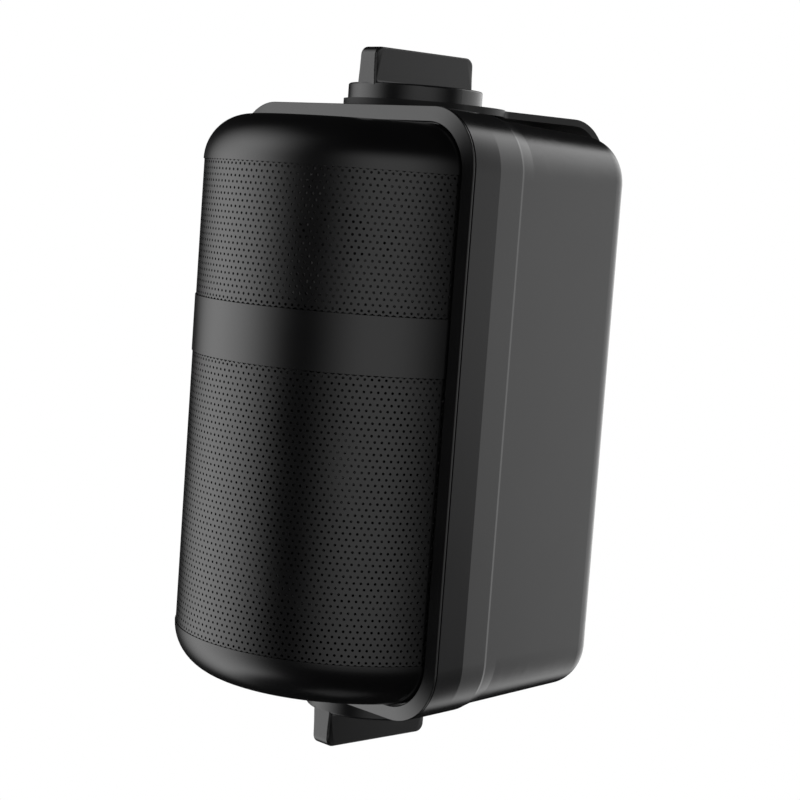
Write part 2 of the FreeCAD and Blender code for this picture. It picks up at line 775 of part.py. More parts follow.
def make_crossover_board():
    """Circuit board on four posts of the cabinet's rear wall."""
    size = (board_width, board_height, board_post_inset / 2)
    board = prism(size, y_board - board_thickness, y_board, board_center)
    hole = screw_shank + screw_clearance
    return board.cut([rod(hole, y_board - board_thickness, y_board, x, z) for x, z in board_places()])


def make_crossover_capacitor():
    """Film capacitor lying on the board."""
    y_axis = y_board - board_thickness - capacitor_radius
    z_low = board_center - capacitor_length / 2
    can = post(capacitor_radius, z_low, z_low + capacitor_length, -board_width / 4, y_axis)
    return can.makeFillet(capacitor_round, [e for e in can.Edges if e.Closed])


def make_crossover_inductor():
    """Air-cored coil standing on the board."""
    y0 = y_board - board_thickness - inductor_height
    return pipe(inductor_radius, inductor_bore, y0, y0 + inductor_height, board_width / 4, board_center)


def lever_centres():
    """X places of the two terminal levers."""
    return (-lever_pitch / 2, lever_pitch / 2)


def lever_pivot():
    """Y and Z of the levers' pin line."""
    return y_rear - lever_inset, cup_center + cup_height / 2 - lever_rise - 2 * lever_pin_radius


def make_terminal_cup():
    """Recessed cup with ears for the two levers and a block with two wire holes."""
    inner = (cup_width, cup_height, cup_corner)
    lip = prism(grown(inner, cup_lip), y_rear, y_rear + cup_lip_thickness, cup_center)
    body = prism(grown(inner, cup_wall), y_rear - cup_depth - cup_wall, y_rear, cup_center)
    y_floor = y_rear - cup_depth
    cup = lip.fuse(body).removeSplitter().cut(prism(inner, y_floor, y_rear + cup_lip_thickness, cup_center))
    y_pin, z_pin = lever_pivot()
    ear_height = 4 * lever_pin_radius
    ear_depth = y_pin + 2 * lever_pin_radius - y_floor
    added = []
    gap = lever_width / 2 + lever_clearance
    for x in lever_centres():
        for side in (-1, 1):
            x_ear = x + side * (gap + ear_thickness / 2) - ear_thickness / 2
            corner = V(x_ear, y_floor, z_pin - ear_height / 2)
            added.append(Part.makeBox(ear_thickness, ear_depth, ear_height, corner))
    z_block = cup_center - cup_height / 2
    block_width = lever_pitch + lever_width
    block_depth = cup_depth / 2
    corner = V(-block_width / 2, y_floor, z_block)
    added.append(Part.makeBox(block_width, block_depth, wire_block_height, corner))
    cup = cup.fuse(added).removeSplitter()
    reach = block_width + 2 * ear_thickness
    pin_start = V(-reach / 2, y_pin, z_pin)
    cuts = [Part.makeCylinder(lever_pin_radius + running_clearance, reach, pin_start, AXIS_X)]
    for x in lever_centres():
        cuts.append(rod(wire_hole_radius, y_floor, y_floor + block_depth, x, z_block + wire_block_height / 2))
        cuts.append(contact_slot(x, running_clearance))
    for x, z in terminal_places():
        cuts.append(rod(screw_shank + screw_clearance, y_rear, y_rear + cup_lip_thickness, x, z))
    return cup.cut(cuts)


def contact_slot(x, margin):
    """Flat strip through the cup's floor behind one lever."""
    width = contact_width + 2 * margin
    height = contact_thickness + 2 * margin
    y_back = y_rear - cup_depth - cup_wall - contact_reach
    corner = V(x - width / 2, y_back, cup_center - height / 2)
    return Part.makeBox(width, contact_reach + cup_wall + contact_stub, height, corner)


def make_terminal_contacts():
    """Two metal contact strips whose tails are the inner solder tags."""
    return Part.makeCompound([contact_slot(x, 0.0) for x in lever_centres()])


def make_terminal_lever(x):
    """Push lever with moulded pivot pins and a ribbed thumb end."""
    y_pin, z_pin = lever_pivot()
    z_low = z_pin - lever_drop
    corner = V(x - lever_width / 2, y_pin - lever_thickness / 2, z_low)
    plate = Part.makeBox(lever_width, lever_thickness, lever_drop + lever_rise, corner)
    ends = [e for e in plate.Edges if abs(e.CenterOfMass.x - x) < SAME and e.CenterOfMass.y > y_pin]
    plate = plate.makeFillet(lever_round, ends)
    reach = lever_width / 2 + lever_clearance + lever_pin_reach
    added = [Part.makeCylinder(lever_pin_radius, 2 * reach, V(x - reach, y_pin, z_pin), AXIS_X)]
    for k in range(lever_ribs):
        z_rib = z_low + lever_rib_first + k * lever_rib_pitch
        start = V(x - lever_rib_length / 2, y_pin + lever_thickness / 2, z_rib)
        added.append(Part.makeCylinder(lever_rib_radius, lever_rib_length, start, AXIS_X))
    return plate.fuse(added).removeSplitter()


def make_parts():
    """Every node of the speaker by name."""
    knob = make_knob()
    stud = make_stud()
    pad = make_pad()
    insert = make_insert()
    left, right = lever_centres()
    parts = {
        "wall_bracket": make_wall_bracket(),
        "cabinet": make_cabinet(),
        "front_baffle": make_front_baffle(),
        "baffle_gasket": make_baffle_gasket(),
        "grille": make_grille(),
        "top_knob": knob,
        "top_knob_stud": stud,
        "top_friction_pad": pad,
        "top_thread_insert": insert,
        "bottom_knob": flipped(knob),
        "bottom_knob_stud": flipped(stud),
        "bottom_friction_pad": flipped(pad),
        "bottom_thread_insert": flipped(insert),
        "woofer_basket": make_woofer_basket(),
        "woofer_surround": make_woofer_surround(),
        "woofer_cone": make_woofer_cone(),
        "woofer_dust_cap": make_woofer_dust_cap(),
        "woofer_voice_coil": make_woofer_voice_coil(),
        "woofer_spider": make_woofer_spider(),
        "woofer_top_plate": make_woofer_top_plate(),
        "woofer_magnet": make_woofer_magnet(),
        "woofer_yoke": make_woofer_yoke(),
        "tweeter_faceplate": make_tweeter_faceplate(),
        "tweeter_diaphragm": make_tweeter_diaphragm(),
        "tweeter_voice_coil": make_tweeter_coil(),
        "tweeter_cup": make_tweeter_cup(),
        "tweeter_magnet": make_tweeter_magnet(),
        "tweeter_pole_plate": make_tweeter_pole(),
        "crossover_board": make_crossover_board(),
        "crossover_capacitor": make_crossover_capacitor(),
        "crossover_inductor": make_crossover_inductor(),
        "terminal_cup": make_terminal_cup(),
        "terminal_contacts": make_terminal_contacts(),
        "terminal_lever_black": make_terminal_lever(left),
        "terminal_lever_red": make_terminal_lever(right),
        "baffle_screws": screws(corner_places(baffle_screw_x, baffle_screw_z), y_seat, baffle_screw_length),
        "woofer_screws": screws(woofer_screw_places(), y_woofer - sheet_metal, driver_screw_length),
        "tweeter_screws": screws(tweeter_screw_places(), y_tweeter - tweeter_plate, driver_screw_length),
        "crossover_screws": screws(board_places(), y_board - board_thickness, board_screw_length),
        "terminal_screws": screws(terminal_places(), y_rear + cup_lip_thickness, terminal_screw_length, -1),
    }
    return parts


os.makedirs("parts", exist_ok=True)
for name, shape in make_parts().items():
    shape.exportStep("parts/" + name + ".step")
    print(name, len(shape.Solids), "solids", round(shape.Volume), "mm3, valid:", shape.isValid())
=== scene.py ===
# %% [markdown]
# # A wall speaker, dressed for a studio picture
#
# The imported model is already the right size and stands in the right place, so it is loaded first and
# never moved. Everything here is in metres. The wall is the plane Y = 0, the speaker looks along -Y and Z
# is up. Only the grille is made anew, because its thousands of fine holes are too many for a solid model.
# All other pieces keep their shape and get a finish.

import json
import math

import bpy
import numpy as np
from mathutils import Matrix, Vector


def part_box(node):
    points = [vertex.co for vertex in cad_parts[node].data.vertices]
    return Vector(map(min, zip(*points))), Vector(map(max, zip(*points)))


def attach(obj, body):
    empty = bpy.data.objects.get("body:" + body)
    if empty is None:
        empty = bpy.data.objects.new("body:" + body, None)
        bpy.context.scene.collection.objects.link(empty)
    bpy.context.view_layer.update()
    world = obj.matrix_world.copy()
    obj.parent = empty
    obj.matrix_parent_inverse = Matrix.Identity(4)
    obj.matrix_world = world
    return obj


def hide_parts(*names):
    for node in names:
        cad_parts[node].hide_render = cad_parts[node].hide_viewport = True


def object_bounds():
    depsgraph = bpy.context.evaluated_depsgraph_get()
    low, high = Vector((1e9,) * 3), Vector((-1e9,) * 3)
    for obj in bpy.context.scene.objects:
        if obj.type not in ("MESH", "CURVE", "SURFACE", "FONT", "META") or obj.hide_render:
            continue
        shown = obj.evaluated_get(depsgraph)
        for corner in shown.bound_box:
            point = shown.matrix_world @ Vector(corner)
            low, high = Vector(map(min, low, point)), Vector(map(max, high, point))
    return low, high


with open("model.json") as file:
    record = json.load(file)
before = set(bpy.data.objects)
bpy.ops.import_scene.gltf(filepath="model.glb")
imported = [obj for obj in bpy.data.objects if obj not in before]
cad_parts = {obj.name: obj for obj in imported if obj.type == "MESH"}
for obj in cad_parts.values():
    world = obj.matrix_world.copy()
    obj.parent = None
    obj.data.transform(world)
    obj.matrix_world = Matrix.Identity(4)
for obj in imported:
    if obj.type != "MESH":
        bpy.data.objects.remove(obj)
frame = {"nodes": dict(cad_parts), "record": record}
cad_box = [list(corner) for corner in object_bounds()]
MM = 0.001

# %% [markdown]
# ## The grille's arc
#
# The grille is bent like a piece of a round tube, and the camera and the sheets both need that tube's
# middle line. The radius could be typed in, but one that is measured on the loaded grille can't get out
# of step with it. An arc's half chord c and its rise s give the radius: r = (c * c + s * s) / (2 * s).

# %% Arc of the grille
grille_low, grille_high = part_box("grille")
sagitta = grille_high.y - grille_low.y
half_chord = grille_high.x
grille_radius = (half_chord ** 2 + sagitta ** 2) / (2 * sagitta)
grille_axis_y = grille_low.y + grille_radius
base_gap = grille_axis_y - grille_high.y
print("grille radius", round(grille_radius / MM, 2), "mm")
print("middle line", round(base_gap / MM, 2), "mm behind the grille's base")

# %% [markdown]
# ## The camera
#
# A photograph fixes a camera by what it does to straight edges. The bezel's edges, the knob grips and the
# ring lines of the half-round grille all lean a little, and together they give one bearing, one pitch,
# one roll and one focal length. The camera could be aimed by hand, but then every later comparison would
# be off.

# %% Camera
VIEW_BEARING = math.radians(47.09)
VIEW_PITCH = math.radians(5.89)
VIEW_ROLL = math.radians(4.2)
VIEW_DISTANCE = 688.8 * MM
FOCAL_PIXELS = 2003.2
IMAGE_PIXELS = 800
SENSOR_MM = 36.0
AIM_RIGHT = 14.5 * MM
AIM_UP = 1.5 * MM
NEAREST_SEEN = 10.0 * MM

view_back = Vector((math.sin(VIEW_BEARING) * math.cos(VIEW_PITCH),
                    -math.cos(VIEW_BEARING) * math.cos(VIEW_PITCH),
                    math.sin(VIEW_PITCH)))
view_right = Vector((math.cos(VIEW_BEARING), math.sin(VIEW_BEARING), 0))
view_up = view_back.cross(view_right)
eye = Vector((0, grille_axis_y, AIM_UP)) + view_right * AIM_RIGHT + view_back * VIEW_DISTANCE
rolled_right = view_right * math.cos(VIEW_ROLL) + view_up * math.sin(VIEW_ROLL)
rolled_up = view_up * math.cos(VIEW_ROLL) - view_right * math.sin(VIEW_ROLL)
camera_axes = Matrix((rolled_right, rolled_up, view_back)).transposed()

camera_data = bpy.data.cameras.new("photo_camera")
camera_data.sensor_width = SENSOR_MM
camera_data.lens = FOCAL_PIXELS / IMAGE_PIXELS * SENSOR_MM
camera_data.clip_start = NEAREST_SEEN
camera = bpy.data.objects.new("photo_camera", camera_data)
bpy.context.scene.collection.objects.link(camera)
camera.matrix_world = Matrix.Translation(eye) @ camera_axes.to_4x4()
bpy.context.scene.camera = camera
bpy.context.scene.view_settings.view_transform = "Standard"
print("lens", round(camera_data.lens, 1), "mm")

# %% [markdown]
# ## Sheets with a thickness
#
# Both kinds of sheet in the grille are surfaces of two parameters. A grid of points gives the outer face,
# a second grid gives the inner face, and wherever the kept cells end, a strip of quads joins the two.
# Solidify could do the same, but here the holes already need that strip, so one helper serves every
# sheet.

# %% Rims and walls
def open_edges(edges):
    """Directed edges (n, 2) that have no partner running the other way: the rim of a sheet."""
    size = int(edges.max()) + 1
    forward = edges[:, 0].astype(np.int64) * size + edges[:, 1]
    backward = edges[:, 1].astype(np.int64) * size + edges[:, 0]
    return edges[~np.isin(forward, backward)]


def walls(edges, offset):
    """Quads from each directed edge of the outer face to its twin on the inner face.

    A point's twin is offset places further on in the list of points.
    """
    return np.column_stack([edges[:, 1], edges[:, 0], edges[:, 0] + offset, edges[:, 1] + offset])


# %% [markdown]
# A mesh can be filled one point at a time, but with many thousands of points foreach_set is far quicker:
# it takes a whole array at once. A face is a run in one long list of corners, so it only needs its first
# place.

# %% Mesh from arrays
def mesh_piece(name, points, groups):
    """Makes an object at the origin from points (n, 3) and groups of faces, each an array (m, corners)."""
    mesh = bpy.data.meshes.new(name)
    loops = np.concatenate([group.ravel() for group in groups])
    totals = np.concatenate([np.full(len(group), group.shape[1]) for group in groups])
    starts = np.concatenate([[0], np.cumsum(totals)[:-1]])
    mesh.vertices.add(len(points))
    mesh.vertices.foreach_set("co", np.ascontiguousarray(points, np.float32).ravel())
    mesh.loops.add(len(loops))
    mesh.loops.foreach_set("vertex_index", loops.astype(np.int32))
    mesh.polygons.add(len(totals))
    mesh.polygons.foreach_set("loop_start", starts.astype(np.int32))
    mesh.update(calc_edges=True)
    mesh.validate()
    mesh.polygons.foreach_set("use_smooth", np.full(len(mesh.polygons), True))
    piece = bpy.data.objects.new(name, mesh)
    bpy.context.scene.collection.objects.link(piece)
    print(name, len(points), "points", int((totals - 2).sum()), "triangles")
    return piece


def sharpen(piece, degrees):
    """Splits the shading wherever two faces meet at more than the given angle."""
    piece.data.set_sharp_from_angle(angle=math.radians(degrees))


# %% [markdown]
# ## The grille's frame
#
# On the real grille one sheet is pressed into a half-round bow with rounded ends. A band and both ends
# stay plain, and the perforated fields lie a hair lower. The bow is a profile carried round an arc. The
# profile could be drawn as a curve, but worked out as numbers it has a row of points exactly where each
# field begins.

# %% Section of the bow
EDGE_RADIUS = 16.0 * MM
BAND_TOP = 33.3 * MM
BAND_BOTTOM = 14.4 * MM
FIELD_EDGE = 79.2 * MM
END_START_RATIO = 1.04
END_POINTS = 7
EDGE_POINTS = 17
WALL_POINTS = 6
HEIGHT_DIGITS = 9
SAME_HEIGHT = 1e-6


def bow_profile(inset):
    """Radius and height along the bow's section, bottom to top, at an inset from its outer face.

    Flat end, quarter circle, straight wall, quarter circle, flat end. On the upper quarter circle the radius
    is wall - edge + edge * cos(t) and the height top - edge + edge * sin(t), with t from 0 to 90 degrees.
    """
    top = grille_high.z - inset
    edge = EDGE_RADIUS - inset
    wall = grille_radius - inset
    turn = np.linspace(0, math.pi / 2, EDGE_POINTS)
    flat = np.linspace(base_gap * END_START_RATIO, wall - edge, END_POINTS)[:-1]
    upper_radius = np.concatenate([wall - edge + edge * np.cos(turn), flat[::-1]])
    upper_height = np.concatenate([top - edge + edge * np.sin(turn), np.full(len(flat), top)])
    lines = np.array([-FIELD_EDGE, BAND_BOTTOM, BAND_TOP, FIELD_EDGE])
    middle = np.concatenate([np.linspace(a, b, WALL_POINTS) for a, b in zip(lines[:-1], lines[1:])])
    middle = np.unique(np.round(middle, HEIGHT_DIGITS))
    middle = middle[np.abs(middle) < top - edge - SAME_HEIGHT]
    radius = np.concatenate([upper_radius[::-1], np.full(len(middle), wall), upper_radius])
    height = np.concatenate([-upper_height[::-1], middle, upper_height])
    return radius, height


print("section of the bow", len(bow_profile(0.0)[0]), "points")

# %% [markdown]
# The section now turns about the middle line. Each of its points runs out to the angle at which it meets
# the flat baffle, so the rows near the ends are shorter. The columns are shares of that angle instead of
# angles, and that keeps the surface one tidy grid, with a column exactly at each side of the perforated
# fields.

# %% Surface of the bow
FIELD_ANGLE = math.radians(77.0)
FIELD_POINTS = 97
BORDER_POINTS = 4


def bow_columns():
    """Share of the half angle from -1 to 1, and the share at which the perforated fields end."""
    side = FIELD_ANGLE / math.acos(base_gap / grille_radius)
    left = np.linspace(-1, -side, BORDER_POINTS)[:-1]
    middle = np.linspace(-side, side, FIELD_POINTS)
    right = np.linspace(side, 1, BORDER_POINTS)[1:]
    return np.concatenate([left, middle, right]), side


def bow_points(inset, share):
    """Points (rows, columns, 3): x = r sin(a), y = axis - r cos(a), with a = share * acos(base gap / r)."""
    radius, height = bow_profile(inset)
    reach = np.arccos(np.clip(base_gap / radius, -1, 1))
    angle = reach[:, None] * share[None, :]
    x = radius[:, None] * np.sin(angle)
    y = grille_axis_y - radius[:, None] * np.cos(angle)
    z = np.broadcast_to(height[:, None], x.shape)
    return np.stack([x, y, z], axis=2)


print("fields reach", round(100 * bow_columns()[1], 1), "percent of the half angle")

# %% [markdown]
# The frame is that surface without the quads of the two fields. A boolean could cut the fields out, but a
# grid that leaves quads out keeps every edge clean, and the helpers above close its rims.

# %% Grille frame
FRAME_WALL = 0.5 * MM
FRAME_CREASE = 40


def grille_frame():
    """The bow's grid without the two fields, with an inner face and closed rims."""
    share, side = bow_columns()
    outer = bow_points(0.0, share)
    inner = bow_points(FRAME_WALL, share)
    rows, columns = outer.shape[:2]
    index = np.arange(rows * columns).reshape(rows, columns)
    corners = np.stack([index[:-1, :-1], index[:-1, 1:], index[1:, 1:], index[1:, :-1]], axis=2)
    height = (outer[:-1, 0, 2] + outer[1:, 0, 2]) / 2
    in_field = (np.abs(height) < FIELD_EDGE) & ~((height > BAND_BOTTOM) & (height < BAND_TOP))
    in_middle = np.abs((share[:-1] + share[1:]) / 2) < side
    front = corners[~(in_field[:, None] & in_middle[None, :])]
    edges = np.concatenate([front[:, [k, (k + 1) % 4]] for k in range(4)])
    offset = rows * columns
    faces = [front, front[:, ::-1] + offset, walls(open_edges(edges), offset)]
    points = np.concatenate([outer.reshape(-1, 3), inner.reshape(-1, 3)])
    used, renumbered = np.unique(np.concatenate(faces), return_inverse=True)
    return mesh_piece("grille_frame", points[used], [renumbered.reshape(-1, 4)])


frame_piece = grille_frame()
sharpen(frame_piece, FRAME_CREASE)

# %% [markdown]
# ## The perforated sheet
#
# The holes stand in staggered rows, so each one sits in a six-sided cell like a honeycomb. The cells
# could be joined by merging points that lie close together. Here whole numbers name their corners
# instead, which lets neighbours share them without any searching by distance.

# %% Cells of the honeycomb
ROW_GAP = 1.97 * MM
SHEET_DROP = 0.3 * MM
CORNER_STEPS = np.array([(0, 2), (-1, 1), (-1, -1), (0, -2), (1, -1), (1, 1)])
CELL_CORNERS = len(CORNER_STEPS)
FIELDS = {"grille_upper_field": (BAND_TOP, FIELD_EDGE), "grille_lower_field": (-FIELD_EDGE, BAND_BOTTOM)}


def field_cells(low, high):
    """Whole-number middles of a field's cells, and the size of one step across and up.

    Cells in a row are 2 steps apart, rows are 3 steps apart and every second row is shifted by 1. The row
    gap gives a little, so that the tips of the outer cells just reach the field's edges.
    """
    rows = round((high - low) / ROW_GAP - 1 / 3)
    row_gap = (high - low) / (rows + 1 / 3)
    step = np.array([row_gap / math.sqrt(3), row_gap / 3])
    reach = int(FIELD_ANGLE * (grille_radius - SHEET_DROP) / (2 * step[0]))
    row, column = np.meshgrid(np.arange(rows), np.arange(-reach, reach + 1), indexing="ij")
    return np.stack([2 * column + row % 2, 3 * row + 2], axis=2).reshape(-1, 2), step


for name, (low, high) in FIELDS.items():
    print(name, len(field_cells(low, high)[0]), "holes")

# %% [markdown]
# Each cell is a six-sided outline round a twelve-sided hole: twelve is enough to look round, and few
# enough for thousands of holes. A bump map would be cheaper, but it can't show the dark room behind the
# sheet. The sheet is worked out flat and then rolled on to the bow, as the real one is punched flat and
# then bent.

# %% Perforated fields
HOLE_RADIUS = 0.45 * MM
HOLE_CORNERS = 2 * CELL_CORNERS
HOLE_START = 90
HOLE_TURN = 360 // HOLE_CORNERS
SHEET_WALL = 0.6 * MM
FIELD_CREASE = 35


def on_bow(flat, inset):
    """Rolls flat points (arc length, height) on to the bow at an inset from its outer face.

    x = r sin(a) and y = axis - r cos(a), where the angle a is the arc length over the sheet's own radius.
    """
    radius = grille_radius - inset
    angle = flat[:, 0] / (grille_radius - SHEET_DROP)
    return np.column_stack([radius * np.sin(angle), grille_axis_y - radius * np.cos(angle), flat[:, 1]])


def perforated_field(name, low, high):
    """Honeycomb sheet: triangles between each cell's sides and its hole on both faces, walls at all rims.

    A hole's points are its cell's middle + radius * (cos(t), sin(t)), and each of the cell's six sides gets
    three triangles to the hole.
    """
    cells, step = field_cells(low, high)
    lattice = (cells[:, None, :] + CORNER_STEPS[None, :, :]).reshape(-1, 2)
    corner_places, corner = np.unique(lattice, axis=0, return_inverse=True)
    corner = corner.reshape(len(cells), CELL_CORNERS)
    turn = np.radians(HOLE_START + HOLE_TURN * np.arange(HOLE_CORNERS))
    circle = HOLE_RADIUS * np.column_stack([np.cos(turn), np.sin(turn)])
    rings = (cells * step)[:, None, :] + circle[None, :, :]
    flat = np.concatenate([corner_places * step, rings.reshape(-1, 2)])
    ring = len(corner_places) + np.arange(len(cells) * HOLE_CORNERS).reshape(len(cells), HOLE_CORNERS)
    triangles = []
    for k in range(CELL_CORNERS):
        this, following = corner[:, k], corner[:, (k + 1) % CELL_CORNERS]
        near, middle, far = ring[:, 2 * k], ring[:, 2 * k + 1], ring[:, (2 * k + 2) % HOLE_CORNERS]
        triangles += [np.column_stack([this, middle, near]), np.column_stack([this, following, middle]),
                      np.column_stack([following, far, middle])]
    front = np.concatenate(triangles)[:, ::-1]
    hole_edges = np.concatenate([ring[:, [k, (k + 1) % HOLE_CORNERS]] for k in range(HOLE_CORNERS)])
    cell_edges = np.concatenate([corner[:, [(k + 1) % CELL_CORNERS, k]] for k in range(CELL_CORNERS)])
    flat[:, 1] += low
    offset = len(flat)
    rims = [walls(hole_edges, offset), walls(open_edges(cell_edges), offset)]
    points = np.concatenate([on_bow(flat, SHEET_DROP), on_bow(flat, SHEET_DROP + SHEET_WALL)])
    return mesh_piece(name, points, [front, front[:, ::-1] + offset, *rims])


field_pieces = [perforated_field(name, low, high) for name, (low, high) in FIELDS.items()]
for piece in field_pieces:
    sharpen(piece, FIELD_CREASE)

# %% [markdown]
# The real grille is one piece, fixed to the speaker. So its three surfaces ride on the speaker's body,
# stand for the one grille of the model and take its finish. They could be joined into one mesh, but that
# would have so many triangles that an export would thin it.

# %% The grille rides on the speaker
grille_pieces = [frame_piece, *field_pieces]
for piece in grille_pieces:
    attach(piece, "speaker")
    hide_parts("grille")
print("grille pieces", len(grille_pieces))

# %% [markdown]
# ## Finishes
#
# Black plastic and black paint are almost all reflection, so what tells them apart is how broken that
# reflection is. Each finish starts from one shader and reads Object coordinates, which stay with the
# piece when it moves. These helpers each add one kind of node, so a finish can be put together in a few
# lines.

# %% Nodes of a finish
BROAD_DETAIL = 3.0
NOISE_LOW = 0.3
NOISE_HIGH = 0.7
OPAQUE = 1


def finish_graph(name):
    """New material with its tree, its shader and its Object coordinates."""
    material = bpy.data.materials.new(name)
    material.use_nodes = True
    tree = material.node_tree
    place = tree.nodes.new("ShaderNodeTexCoord").outputs["Object"]
    return material, tree, tree.nodes["Principled BSDF"], place


def cloud(tree, place, size, detail=BROAD_DETAIL):
    """Noise whose blotches are about size across, in millimetres."""
    node = tree.nodes.new("ShaderNodeTexNoise")
    node.inputs["Scale"].default_value = 1.0 / (size * MM)
    node.inputs["Detail"].default_value = detail
    tree.links.new(place, node.inputs["Vector"])
    return node.outputs["Fac"]


def spread(tree, value, low, high):
    """Maps a noise value on to a range of numbers."""
    node = tree.nodes.new("ShaderNodeMapRange")
    node.inputs["From Min"].default_value = NOISE_LOW
    node.inputs["From Max"].default_value = NOISE_HIGH
    node.inputs["To Min"].default_value = low
    node.inputs["To Max"].default_value = high
    tree.links.new(value, node.inputs["Value"])
    return node.outputs["Result"]


def tint(tree, value, dark, light):
    """Maps a noise value on to a blend of two colours."""
    node = tree.nodes.new("ShaderNodeMix")
    node.data_type = "RGBA"
    tree.links.new(value, node.inputs["Factor"])
    node.inputs["A"].default_value = (*dark, OPAQUE)
    node.inputs["B"].default_value = (*light, OPAQUE)
    return node.outputs["Result"]


def relief(tree, shader, value, depth, strength):
    """Feeds a noise value to the shader's normal as bump of the given depth, in millimetres."""
    node = tree.nodes.new("ShaderNodeBump")
    node.inputs["Distance"].default_value = depth * MM
    node.inputs["Strength"].default_value = strength
    tree.links.new(value, node.inputs["Height"])
    tree.links.new(node.outputs["Normal"], shader.inputs["Normal"])


# %% [markdown]
# A fine noise makes the moulded grain or the paint's orange peel as bump, and a broad one shifts the
# roughness and the colour a little, as on any surface that was moulded, painted or rolled. A plain number
# for each would be simpler, but a black surface without any change in its shine looks drawn.

# %% One finish
BROAD_SIZE = 30.0
FINE_DETAIL = 2.0
COLOUR_CHANGE = 0.15
ROUGH_CHANGE = 0.1
BUMP_STRENGTH = 0.4


def shaded(colour, factor):
    """A colour made darker or lighter."""
    return tuple(min(1.0, channel * factor) for channel in colour)


def surface(name, colour, rough, grain, depth, metal=0.0, specular=0.5):
    """Finish with a fine grain as bump and a broad change of colour and shine.

    The grain's size and depth are in millimetres.
    """
    material, tree, shader, place = finish_graph(name)
    broad = cloud(tree, place, BROAD_SIZE)
    fine = cloud(tree, place, grain, FINE_DETAIL)
    dark, light = shaded(colour, 1 - COLOUR_CHANGE), shaded(colour, 1 + COLOUR_CHANGE)
    smoother, rougher = rough * (1 - ROUGH_CHANGE), rough * (1 + ROUGH_CHANGE)
    tree.links.new(tint(tree, broad, dark, light), shader.inputs["Base Color"])
    tree.links.new(spread(tree, broad, smoother, rougher), shader.inputs["Roughness"])
    shader.inputs["Metallic"].default_value = metal
    shader.inputs["Specular IOR Level"].default_value = specular
    relief(tree, shader, fine, depth, BUMP_STRENGTH)
    return material


# %% [markdown]
# Outside, nearly everything is black. Cabinet, bezel and knobs are satin plastic with a faint grain, the
# grille and the bracket are painted steel, and the bracket's paint is the duller of the two. Foam and
# rubber hardly shine. One black for all would be simpler, but then the pieces would melt into one. Each
# colour is the surface's own, without shine or shadow, so it holds under other lamps too.

# %% Looks of the outside
LOOKS = {
    "cabinet_plastic": dict(colour=(0.012, 0.012, 0.0125), rough=0.22, grain=0.7, depth=0.01),
    "bezel_plastic": dict(colour=(0.005, 0.005, 0.0053), rough=0.22, grain=0.7, depth=0.01),
    "knob_plastic": dict(colour=(0.010, 0.010, 0.0105), rough=0.24, grain=0.7, depth=0.01, specular=0.42),
    "grille_steel": dict(colour=(0.005, 0.005, 0.0053), rough=0.24, grain=1.2, depth=0.01),
    "bracket_steel": dict(colour=(0.006, 0.006, 0.0063), rough=0.45, grain=0.9, depth=0.02, specular=0.2),
    "gasket_foam": dict(colour=(0.006, 0.006, 0.006), rough=0.95, grain=0.5, depth=0.2),
    "pad_rubber": dict(colour=(0.010, 0.010, 0.010), rough=0.8, grain=0.6, depth=0.05),
    "terminal_plastic": dict(colour=(0.016, 0.016, 0.017), rough=0.4, grain=0.7, depth=0.05),
    "lever_black": dict(colour=(0.014, 0.014, 0.014), rough=0.28, grain=0.8, depth=0.03),
    "lever_red": dict(colour=(0.45, 0.02, 0.015), rough=0.28, grain=0.8, depth=0.03),
    "contact_brass": dict(colour=(0.70, 0.55, 0.25), rough=0.3, grain=0.5, depth=0.02, metal=1.0),
    "screw_steel": dict(colour=(0.05, 0.05, 0.052), rough=0.32, grain=0.4, depth=0.02, metal=1.0),
}
print("looks of the outside", len(LOOKS))

# %% [markdown]
# Inside are the plain colours of steel, brass, copper, paper, cloth and ferrite. They hardly show until
# the speaker is taken apart. One grey would do for the picture, but a part in a library may well be
# opened, so each has its own finish.

# %% Looks of the inside
LOOKS |= {
    "insert_brass": dict(colour=(0.72, 0.52, 0.22), rough=0.3, grain=0.6, depth=0.02, metal=1.0),
    "stud_steel": dict(colour=(0.55, 0.55, 0.56), rough=0.28, grain=0.5, depth=0.02, metal=1.0),
    "basket_steel": dict(colour=(0.015, 0.015, 0.016), rough=0.45, grain=0.8, depth=0.04),
    "surround_rubber": dict(colour=(0.012, 0.012, 0.012), rough=0.6, grain=0.6, depth=0.03),
    "cone_paper": dict(colour=(0.030, 0.030, 0.030), rough=0.8, grain=1.6, depth=0.15),
    "cap_film": dict(colour=(0.020, 0.020, 0.020), rough=0.4, grain=0.8, depth=0.03),
    "coil_copper": dict(colour=(0.70, 0.32, 0.14), rough=0.3, grain=0.3, depth=0.05, metal=1.0),
    "spider_cloth": dict(colour=(0.55, 0.36, 0.10), rough=0.85, grain=0.5, depth=0.1),
    "plate_steel": dict(colour=(0.5, 0.5, 0.51), rough=0.35, grain=0.6, depth=0.02, metal=1.0),
    "magnet_ferrite": dict(colour=(0.045, 0.045, 0.048), rough=0.6, grain=0.5, depth=0.08),
    "faceplate_plastic": dict(colour=(0.015, 0.015, 0.015), rough=0.45, grain=0.7, depth=0.04),
    "dome_film": dict(colour=(0.020, 0.020, 0.021), rough=0.4, grain=0.9, depth=0.02),
    "board_laminate": dict(colour=(0.04, 0.16, 0.06), rough=0.3, grain=0.6, depth=0.03),
    "capacitor_film": dict(colour=(0.55, 0.38, 0.05), rough=0.3, grain=0.8, depth=0.03),
}
print("looks in all", len(LOOKS))

# %% [markdown]
# The record names a slot for each node, and each slot has one look. Finding the finish through the record
# could be replaced by a list of nodes here, but that list would go wrong as soon as a node is renamed.

